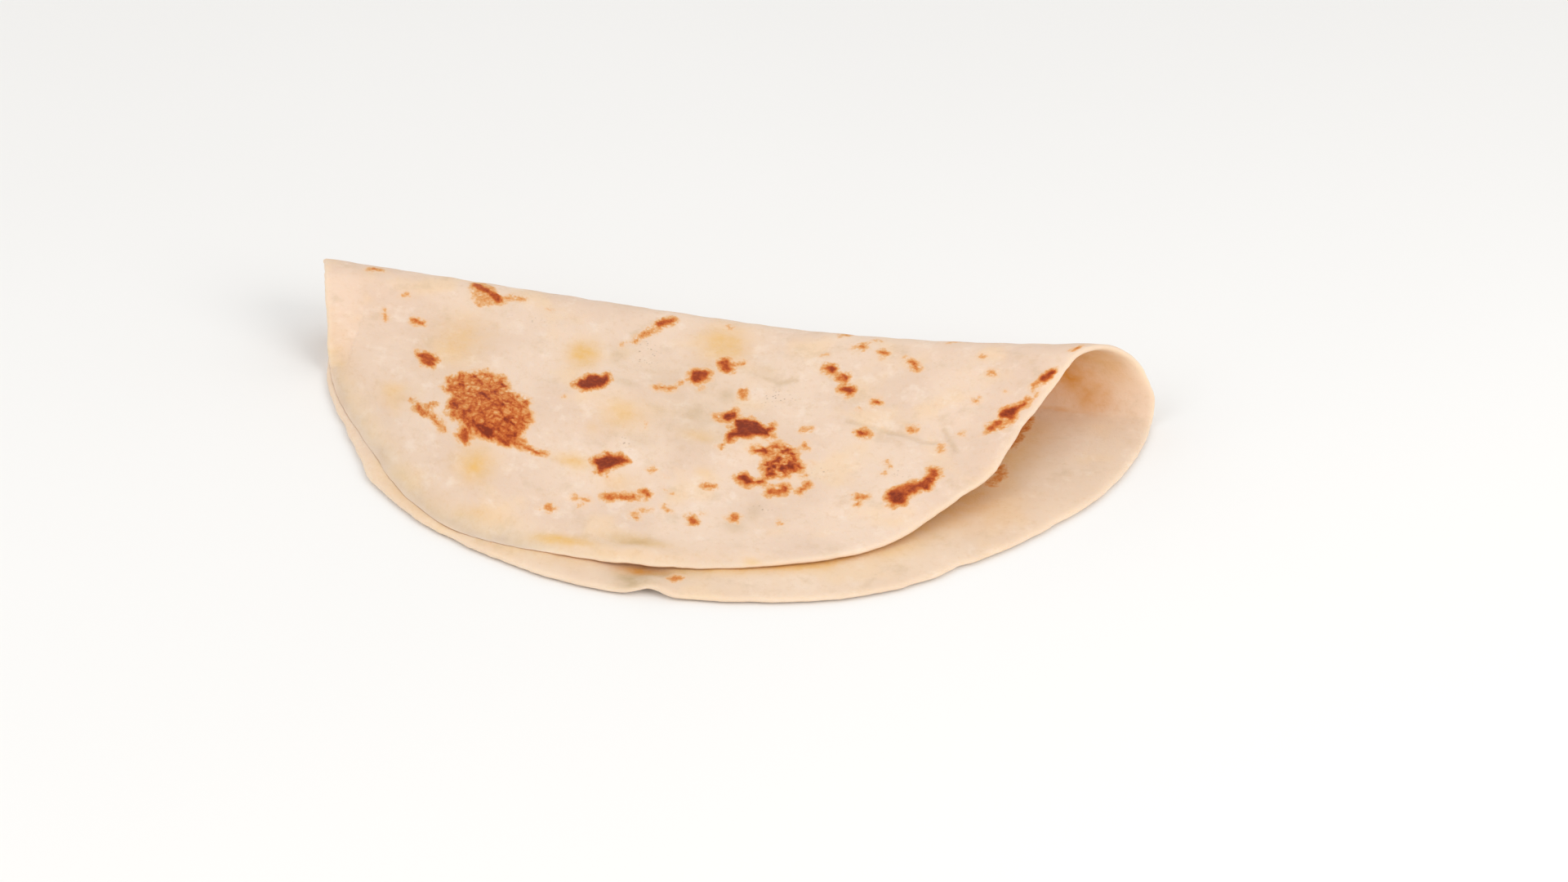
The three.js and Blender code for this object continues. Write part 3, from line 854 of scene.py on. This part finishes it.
disc_x, disc_y = disc_place(grid_x, grid_y)
direction = np.arctan2(disc_y, disc_x)
bulge = np.where(at_rim, RIM_ROUNDING * (np.sqrt(1 - np.clip(side, -1, 1) ** 2) - 0.5), 0)
rim = rim_radius(direction)
close_to_rim = np.exp(-(((1 - np.hypot(disc_x, disc_y)) * SHEET_RADIUS / RIPPLES_REACH) ** 2))
for lobes, depth, lobe_turn in RIM_RIPPLES:
    bulge += close_to_rim * depth * np.cos(lobes * (direction - math.radians(lobe_turn)))
rim_along, rim_across = SHEET_RADIUS * np.cos(direction), SHEET_RADIUS * np.sin(direction)
rough = sum(rise * unevenness(rim_along, rim_across, length, seed) for rise, length, seed in RIM_ROUGHNESS)
bulge += close_to_rim * rough
along = (rim + bulge) * disc_x
across = (rim + bulge) * disc_y
inset = np.maximum(rim + bulge - np.hypot(along, across), 0) * (1 - at_rim)
outer = np.clip(-side, 0, 1)
inner = np.clip(side, 0, 1)

# What each point knows of the marks, on the outer face or on the inside. Narrow grooves are
# given painted grey shade, the mottled patches are darker towards the front, and no mark runs
# over the rim.
WRINKLE_SHADE = 0.4
NARROW_GROOVE = 2
MOTTLE_GRADE = 0.009
MOTTLE_MIDDLE = 74
MOST_GRADE = 0.12
MARKS_CLEAR_RIM = (0.6, 2.2)
read_along, read_across = read_place(along, across)
ragged_place = strayed(read_along, read_across)
upper_heat = scorched(*ragged_place, OUTER_BLOTS, OUTER_STROKES, PALE_CELLS)
under_heat = scorched(*ragged_place, [], UNDERSIDE_STROKES)
inner_heat = scorched(*strayed(along, across), [], INNER_STROKES + INSIDE_STROKES)
mottle = np.zeros_like(along)
mottled_heat = np.zeros_like(along)
for strength, outline in OUTER_MOTTLED + UNDERSIDE_MOTTLED:
    amount = heat_of(outline_distance(*ragged_place, outline), 1)
    grade = np.clip(MOTTLE_GRADE * (abs(read_across) - MOTTLE_MIDDLE), -MOST_GRADE, MOST_GRADE)
    mottle = np.maximum(mottle, amount)
    mottled_heat = np.maximum(mottled_heat, (strength + grade) * amount)
outer_heat = np.maximum(np.maximum(upper_heat, under_heat), mottled_heat)
clear_rim = smooth_step(inset, *MARKS_CLEAR_RIM)
heat = (outer * outer_heat + inner * inner_heat) * clear_rim
mottle = outer * mottle
butter_and_shade = outer * patches(read_along, read_across, BUTTER_PATCHES + UNDERSIDE_BUTTER)
left_front = smooth_step(across, *YELLOW_STARTS) * (1 - smooth_step(along, *YELLOW_FADES))
rim_yellow = RIM_YELLOW * left_front * np.exp(-((inset / RIM_YELLOW_REACH) ** 2))
butter_and_shade = np.maximum(butter_and_shade, outer * rim_yellow)
butter_and_shade += inner * patches(along, across, INNER_YELLOW_AND_SHADE)
for reach, amount, line in UNDER_RIM_SHADE:
    near_line = np.exp(-((line_distance(along, across, line) / reach) ** 2))
    butter_and_shade = np.maximum(butter_and_shade, inner * amount * near_line)
ash_and_shade = outer * patches(read_along, read_across, ASH_PATCHES)
for width, height, points in WRINKLES:
    if height < 0 and width < NARROW_GROOVE:
        groove = np.exp(-((2 * line_distance(read_along, read_across, points) / width) ** 2))
        ash_and_shade = np.maximum(ash_and_shade, outer * WRINKLE_SHADE * groove)
ash_and_shade += inner * patches(along, across, INNER_PINCH_SHADE)
under_rim = smooth_step(across, *RIM_TAN_STARTS) * (1 - smooth_step(inset, 0, RIM_TAN_REACH))
tan_and_shade = inner * np.maximum(patches(along, across, INNER_TAN_AND_SHADE), RIM_SHADE_TAN * under_rim)
pinholes = outer * patches(read_along, read_across, PINHOLES)

# Each point goes round the fold and out to its own face, and the upper rim droops by some of the
# air that lies between it and the lower layer
fold_along, fold_across = along + CENTRE_ALONG, across + CENTRE_ACROSS
point = folded_middle(fold_along, fold_across)
landed = smooth_step(fold_across, *LANDED_ACROSS)
opening = np.exp(-((2 * (along - OPENING_ALONG) / OPENING_WIDTH) ** 2))
touch = landed * (1 - smooth_step(along, *TOUCH_ENDS))
pressed = landed * smooth_step(-along, *PRESSED_STARTS)
close = np.exp(-((inset / (TOUCH_REACH + (PRESSED_REACH - TOUCH_REACH) * pressed)) ** 2))
thin_here = TOUCH_THINNING * touch + (PRESSED_THINNING - TOUCH_THINNING) * pressed
thinned = np.maximum(RIM_THINNING * np.exp(-((inset / RIM_THINS_FROM) ** 2)), thin_here * close)
half_thick = SHEET_THICKNESS / 2 * (1 - thinned)
air = point[:, 2] - half_thick - SHEET_THICKNESS
rest_gap = TOUCH_GAP + (PRESSED_GAP - TOUCH_GAP) * pressed + (OPENING_GAP - TOUCH_GAP) * opening
droop = touch * close * np.clip(air - rest_gap, 0, MOST_DROOP)
relief = outer * clear_rim * outer_relief(along, across, outer_heat, mottle)
inner_dimples = unevenness(along, across, INNER_DIMPLE_LENGTH, 4)
relief = relief - inner * INNER_DIMPLE_SHARE * DIMPLE_HEIGHT * inner_dimples
dip = np.hypot((along - DIP_ALONG) / DIP_LENGTH, (across - DIP_ACROSS) / DIP_WIDTH)
relief += inner * DIP_DEPTH * np.exp(-(dip**2))
offset = side * half_thick - relief
point += inside_normal(fold_along, fold_across) * offset[:, None]
point[:, 2] -= droop

# The finished sheet goes where the solid is, drawn in a hair where its unevenness stands out of it
METRES = 0.001
HAIR = 1e-5
point *= METRES
low, high = np.array(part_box("tortilla"))
size = point.max(axis=0) - point.min(axis=0)
shrink = np.minimum((high - low) / size, 1) * (1 - HAIR)
middle = (point.max(axis=0) + point.min(axis=0)) / 2
point = (low + high) / 2 + (point - middle) * shrink
sheet_mesh.vertices.foreach_set("co", point.ravel())
sheet_mesh.update()

# Patterns read each point's place on the flat sheet. The faces are set apart, so that they differ.
FACES_APART = 3
flat_place = np.stack([along, across, FACES_APART * side], axis=1)
sheet_mesh.attributes.new("flat_place", "FLOAT_VECTOR", "POINT").data.foreach_set(
    "vector", flat_place.ravel()
)

# The rim gets a painted highlight, paler than the faces: less so on the inside, but most of all at
# the roll's top
ROLL_TOP_STARTS = (0, 10)
ROLL_TOP_ENDS = (24, 36)
PALE_FROM = 0.2
PALE_TO = 2.4
PALER_TO = 2.2
LESS_INSIDE = 0.4
MORE_ON_ROLL = 1.2
roll_top = inner * smooth_step(across, *ROLL_TOP_STARTS) * (1 - smooth_step(across, *ROLL_TOP_ENDS))
pale_reach = 1 - smooth_step(inset, PALE_FROM, PALE_TO + PALER_TO * roll_top)
rim_highlight = (1 - LESS_INSIDE * inner + MORE_ON_ROLL * roll_top) * pale_reach
for name, values in [
    ("scorch", heat),
    ("mottle", mottle),
    ("butter_and_shade", butter_and_shade),
    ("ash_and_shade", ash_and_shade),
    ("tan_and_shade", tan_and_shade),
    ("inside", inner),
    ("pinholes", pinholes),
    ("rim", rim_highlight),
]:
    sheet_mesh.attributes.new(name, "FLOAT", "POINT").data.foreach_set("value", values)

tortilla = bpy.data.objects.new("tortilla_sheet", sheet_mesh)
bpy.context.scene.collection.objects.link(tortilla)


# The baked dough: cream, with soft clouds, fat that shows yellow and a flour bloom
def paint(red, green, blue):
    """An sRGB colour of 0 to 255 a channel, as the linear one that a shader takes."""
    linear = []
    for channel in (red, green, blue):
        share = channel / 255
        linear.append(share / 12.92 if share <= 0.04045 else ((share + 0.055) / 1.055) ** 2.4)
    return (*linear, 1)


def add(tree, kind, inputs=None, **settings):
    """A shader node with its settings and inputs, each a value or another node's socket."""
    made = tree.nodes.new("ShaderNode" + kind)
    for name, value in settings.items():
        setattr(made, name, value)
    for name, value in (inputs or {}).items():
        if isinstance(value, bpy.types.NodeSocket):
            tree.links.new(value, made.inputs[name])
        else:
            made.inputs[name].default_value = value
    return made


def combine(tree, operation, first, second):
    """Two values added, multiplied or taken from one another."""
    return add(tree, "Math", {0: first, 1: second}, operation=operation).outputs[0]


def noise(tree, vector, scale, detail=2, roughness=0.5):
    """Soft noise, with a scale in waves for each unit of the vector."""
    inputs = {"Vector": vector, "Scale": scale, "Detail": detail, "Roughness": roughness}
    return add(tree, "TexNoise", inputs).outputs["Fac"]


def cells(tree, vector, scale, feature):
    """Outputs of a pattern of uneven cells, with a scale in cells for each unit of the vector."""
    inputs = {"Vector": vector, "Scale": scale, "Randomness": 1.0}
    return add(tree, "TexVoronoi", inputs, feature=feature).outputs


def stretch(tree, value, low, high, to_low=0.0, to_high=1.0):
    """Carries a range of values onto another, with soft ends."""
    inputs = {"Value": value, "From Min": low, "From Max": high, "To Min": to_low, "To Max": to_high}
    return add(tree, "MapRange", inputs, interpolation_type="SMOOTHSTEP").outputs["Result"]


def blend(tree, amount, first, second):
    """Mixes two colours, which are inputs 6 and 7 of a Mix node and its output 2."""
    made = add(tree, "Mix", data_type="RGBA")
    for socket, value in ((made.inputs[0], amount), (made.inputs[6], first), (made.inputs[7], second)):
        if isinstance(value, bpy.types.NodeSocket):
            tree.links.new(value, socket)
        else:
            socket.default_value = value
    return made.outputs[2]


def attribute(tree, name, output="Fac"):
    """What the mesh's points hold under a name."""
    return add(tree, "Attribute", attribute_name=name).outputs[output]


def cloud(tree, colour, vector, texture, shows, strength, tone):
    """Lays clouds of a tone over a colour, where noise is within a range."""
    return blend(tree, stretch(tree, noise(tree, vector, *texture), *shows, 0, strength), colour, tone)


def tinge(tree, colour, name, strength, tone):
    """Lays a tone over a colour as strongly as the mesh's points say."""
    return blend(tree, combine(tree, "MULTIPLY", attribute(tree, name), strength), colour, tone)


DOUGH_CREAM = paint(233, 207, 185)
DOUGH_SHADE = paint(226, 199, 177)
DOUGH_WARM = paint(236, 205, 171)
FLOUR_WHITE = paint(242, 222, 205)
INSIDE_CREAM = paint(232, 204, 172)
# Yellow of fat and of painted warm shade, and beige of ash and of painted grey shade
BUTTER_AND_SHADE_YELLOW = paint(229, 184, 116)
ASH_AND_SHADE_BEIGE = paint(197, 170, 134)
SPECK_TAN = paint(215, 181, 143)
# Tan of toasting and of painted shade
TOAST_AND_SHADE_TAN = paint(214, 149, 70)
# The rim's painted highlight
RIM_HIGHLIGHT = paint(240, 216, 190)
PINHOLE_GREY = paint(158, 134, 112)

# Clouds of tone over the dough, coarse and then fine: the noise's scale, detail and roughness, the
# range of it in which they show, their strength and their tone
SOFT_CLOUDS = [
    ((0.035, 3, 0.5), (0.4, 0.62), 1, DOUGH_SHADE),
    ((0.06, 2, 0.5), (0.52, 0.7), 0.7, DOUGH_WARM),
    ((0.16, 4, 0.6), (0.52, 0.72), 0.5, FLOUR_WHITE),
]
FINE_CLOUDS = [
    ((0.11, 4, 0.65), (0.54, 0.74), 0.32, ASH_AND_SHADE_BEIGE),
    ((0.5, 4, 0.7), (0.5, 0.72), 0.3, SPECK_TAN),
]

# How strongly the inside and the rim's painted highlight take their tones, the unevenness of the
# patches' edges, and the dots that pinholes are
INSIDE_STRENGTH = 0.3
RIM_HIGHLIGHT_STRENGTH = 0.4
EDGE_NOISE = (0.25, 3, 0.6)
EDGE_RANGE = (0.3, 0.7)
EDGE_STRENGTHS = (0.75, 1.15)
DOT_SCALE = 0.75
DOT_RANGE = (0.12, 0.3)
DOT_STRENGTH = 0.8

# Heat to colour, from the pale halo of a mark to its charred middle
SCORCH_COLOURS = [
    (0.12, paint(233, 197, 162)),
    (0.22, paint(226, 178, 130)),
    (0.34, paint(219, 155, 94)),
    (0.46, paint(209, 129, 65)),
    (0.58, paint(196, 101, 42)),
    (0.7, paint(177, 79, 28)),
    (0.82, paint(155, 61, 20)),
    (0.98, paint(128, 44, 12)),
]

# The marks' edges are ragged by two noises: each one's strength, scale, detail and roughness, and
# the heat over which they come in
RAGGEDNESS = [(0.65, (1.0, 3, 0.6)), (0.45, (0.42, 2, 0.5))]
RAGGED_FROM = (0.03, 0.3)

# The mottled patches have small cells: hot walls, cells of uneven heat, and spots over them
CELL_SCALE = 0.42
WALL_RANGE = (0.02, 0.3)
WALL_HEAT = 0.14
CELL_HEATS = (-0.05, 0.1)
SPOT_NOISE = (0.55, 3, 0.6)
SPOT_RANGE = (0.36, 0.64)
SPOT_HEATS = (-0.06, 0.1)

# From which heat a mark covers the dough, and how charring makes it less rough
COVER_RANGE = (0.04, 0.24)
CHAR_RANGE = (0.3, 0.9)
CHAR_ROUGHNESS = (0.72, 0.52)

# The finest relief: grain, pores, and crust on the marks, with its height in metres
GRAIN_NOISE = (1.4, 4, 0.65)
PORE_SCALE = 0.8
PORE_RANGE = (0, 0.22)
PORE_DEPTH = 0.6
CRUST_NOISE = (0.9, 4, 0.7)
BUMP_STRENGTH = 0.35
BUMP_HEIGHT = 0.00025

# The dough is matt, and lets some light in: how much, how far in metres, and red further than blue
GLOSS = 0.2
LIGHT_SHARE = 0.25
LIGHT_REACH = 0.003
LIGHT_SPREAD = (1.0, 0.75, 0.5)

dough = bpy.data.materials.new("baked_dough")
dough.use_nodes = True
tree = dough.node_tree
surface = tree.nodes["Principled BSDF"]
flat = attribute(tree, "flat_place", "Vector")

# The dough's own clouds, and its inside
colour = DOUGH_CREAM
for layer in SOFT_CLOUDS:
    colour = cloud(tree, colour, flat, *layer)
colour = tinge(tree, colour, "inside", INSIDE_STRENGTH, INSIDE_CREAM)
for layer in FINE_CLOUDS:
    colour = cloud(tree, colour, flat, *layer)

# Patches of fat, ash and tan with uneven edges, some of them painted shade, the rim's painted
# highlight and the pinholes
patch_edge = stretch(tree, noise(tree, flat, *EDGE_NOISE), *EDGE_RANGE, *EDGE_STRENGTHS)
for name, tone in [("butter_and_shade", BUTTER_AND_SHADE_YELLOW), ("ash_and_shade", ASH_AND_SHADE_BEIGE), ("tan_and_shade", TOAST_AND_SHADE_TAN)]:
    colour = tinge(tree, colour, name, patch_edge, tone)
colour = tinge(tree, colour, "rim", RIM_HIGHLIGHT_STRENGTH, RIM_HIGHLIGHT)
dot = stretch(tree, cells(tree, flat, DOT_SCALE, "F1")["Distance"], *DOT_RANGE, 1, 0)
holes = combine(tree, "MULTIPLY", attribute(tree, "pinholes"), dot)
colour = blend(tree, combine(tree, "MULTIPLY", holes, DOT_STRENGTH), colour, PINHOLE_GREY)

# The marks: their heat is made ragged by noise, and mottled where bubbles browned
heat_here = attribute(tree, "scorch")
strays = []
for strength, texture in RAGGEDNESS:
    centred = combine(tree, "SUBTRACT", noise(tree, flat, *texture), 0.5)
    strays.append(combine(tree, "MULTIPLY", centred, strength))
ragged = combine(tree, "ADD", *strays)
ragged = combine(tree, "MULTIPLY", ragged, stretch(tree, heat_here, *RAGGED_FROM))
walls = cells(tree, flat, CELL_SCALE, "DISTANCE_TO_EDGE")["Distance"]
wall_heat = stretch(tree, walls, *WALL_RANGE, WALL_HEAT, 0)
chance = add(tree, "SeparateColor", {"Color": cells(tree, flat, CELL_SCALE, "F1")["Color"]})
cell_heat = stretch(tree, chance.outputs["Red"], 0, 1, *CELL_HEATS)
spotted = stretch(tree, noise(tree, flat, *SPOT_NOISE), *SPOT_RANGE, *SPOT_HEATS)
mottling = combine(tree, "ADD", combine(tree, "ADD", wall_heat, cell_heat), spotted)
mottling = combine(tree, "MULTIPLY", mottling, attribute(tree, "mottle"))
full_heat = combine(tree, "ADD", combine(tree, "ADD", heat_here, ragged), mottling)
ramp = add(tree, "ValToRGB", {"Fac": full_heat})
stops = ramp.color_ramp.elements
stops[0].position, stops[0].color = SCORCH_COLOURS[0]
stops[1].position, stops[1].color = SCORCH_COLOURS[-1]
for position, tone in SCORCH_COLOURS[1:-1]:
    stops.new(position).color = tone
mark_amount = stretch(tree, full_heat, *COVER_RANGE)
colour = blend(tree, mark_amount, colour, ramp.outputs["Color"])
tree.links.new(colour, surface.inputs["Base Color"])
charring = stretch(tree, full_heat, *CHAR_RANGE, *CHAR_ROUGHNESS)
tree.links.new(charring, surface.inputs["Roughness"])

grain = noise(tree, flat, *GRAIN_NOISE)
pores = stretch(tree, cells(tree, flat, PORE_SCALE, "F1")["Distance"], *PORE_RANGE, -PORE_DEPTH, 0)
crust = combine(tree, "MULTIPLY", noise(tree, flat, *CRUST_NOISE), mark_amount)
height = combine(tree, "ADD", combine(tree, "ADD", grain, pores), crust)
bump = add(tree, "Bump", {"Height": height, "Strength": BUMP_STRENGTH, "Distance": BUMP_HEIGHT})
tree.links.new(bump.outputs["Normal"], surface.inputs["Normal"])
surface.inputs["Subsurface Weight"].default_value = LIGHT_SHARE
surface.inputs["Subsurface Radius"].default_value = LIGHT_SPREAD
surface.inputs["Subsurface Scale"].default_value = LIGHT_REACH
surface.inputs["Specular IOR Level"].default_value = GLOSS

sheet_mesh.materials.append(dough)
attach(tortilla, "root")
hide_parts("tortilla")


# The floor: a plain pale table top, matt, six metres wide, so that it runs out of the picture on
# all sides.
FLOOR_SIZE = 6
FLOOR_WHITE = paint(246, 245, 243)
FLOOR_SHADE = paint(241, 240, 238)
FLOOR_NOISE = (3, 2)
FLOOR_ROUGHNESS = 0.85

table = bmesh.new()
bmesh.ops.create_grid(table, x_segments=1, y_segments=1, size=FLOOR_SIZE / 2)
floor_mesh = bpy.data.meshes.new("table_top")
table.to_mesh(floor_mesh)
table.free()
floor = bpy.data.objects.new("table_top", floor_mesh)
bpy.context.scene.collection.objects.link(floor)
matt_white = bpy.data.materials.new("matt_white")
matt_white.use_nodes = True
tree = matt_white.node_tree
surface = tree.nodes["Principled BSDF"]
on_floor = add(tree, "TexCoord").outputs["Object"]
tone = blend(tree, noise(tree, on_floor, *FLOOR_NOISE), FLOOR_WHITE, FLOOR_SHADE)
tree.links.new(tone, surface.inputs["Base Color"])
surface.inputs["Roughness"].default_value = FLOOR_ROUGHNESS
floor_mesh.materials.append(matt_white)


# The light: a white room, a large soft lamp over the front left of the table, and a smaller one
# before the open mouth at the front right that lights its inside. Their sizes and places are in
# metres, and their power in watts.
ROOM_BRIGHTNESS = 0.79
LAMP_COLOUR = (1.0, 0.985, 0.96)
LAMPS = [
    {"name": "soft_lamp", "size": 1.2, "power": 3.6, "place": (-0.78, -0.6, 0.72)},
    {"name": "fill_lamp", "size": 0.7, "power": 4.2, "place": (0.8, -0.45, 0.6)},
]

room = bpy.data.worlds.new("white_room")
room.use_nodes = True
room.node_tree.nodes["Background"].inputs["Color"].default_value = (1, 1, 1, 1)
room.node_tree.nodes["Background"].inputs["Strength"].default_value = ROOM_BRIGHTNESS
bpy.context.scene.world = room
for settings in LAMPS:
    lamp_light = bpy.data.lights.new(settings["name"], "AREA")
    lamp_light.shape = "DISK"
    lamp_light.size = settings["size"]
    lamp_light.energy = settings["power"]
    lamp_light.color = LAMP_COLOUR
    lamp = bpy.data.objects.new(settings["name"], lamp_light)
    lamp.location = settings["place"]
    lamp.rotation_euler = (-lamp.location).to_track_quat("-Z", "Y").to_euler()
    bpy.context.scene.collection.objects.link(lamp)
bpy.context.scene.view_settings.view_transform = "Standard"


# The camera: a long lens, above and a little to the right of the front. Its target and distance are
# in metres, its angles in degrees, and its lens and sensor in millimetres.
CAMERA_TARGET = (0.0237, 0.0250, 0)
CAMERA_DISTANCE = 1.0856
CAMERA_AZIMUTH = 12.34
CAMERA_ELEVATION = 32.21
CAMERA_LENS = 84.375
CAMERA_SENSOR = 36
NEAREST_SEEN = 0.05

turn, tilt = math.radians(CAMERA_AZIMUTH), math.radians(CAMERA_ELEVATION)
target = np.array(CAMERA_TARGET)
back = np.array([math.sin(turn) * math.cos(tilt), -math.cos(turn) * math.cos(tilt), math.sin(tilt)])
camera = bpy.data.objects.new("camera", bpy.data.cameras.new("camera"))
camera.data.lens = CAMERA_LENS
camera.data.sensor_width = CAMERA_SENSOR
camera.data.clip_start = NEAREST_SEEN
camera.location = target + CAMERA_DISTANCE * back
camera.rotation_euler = (math.pi / 2 - tilt, 0, turn)
bpy.context.scene.collection.objects.link(camera)
bpy.context.scene.camera = camera
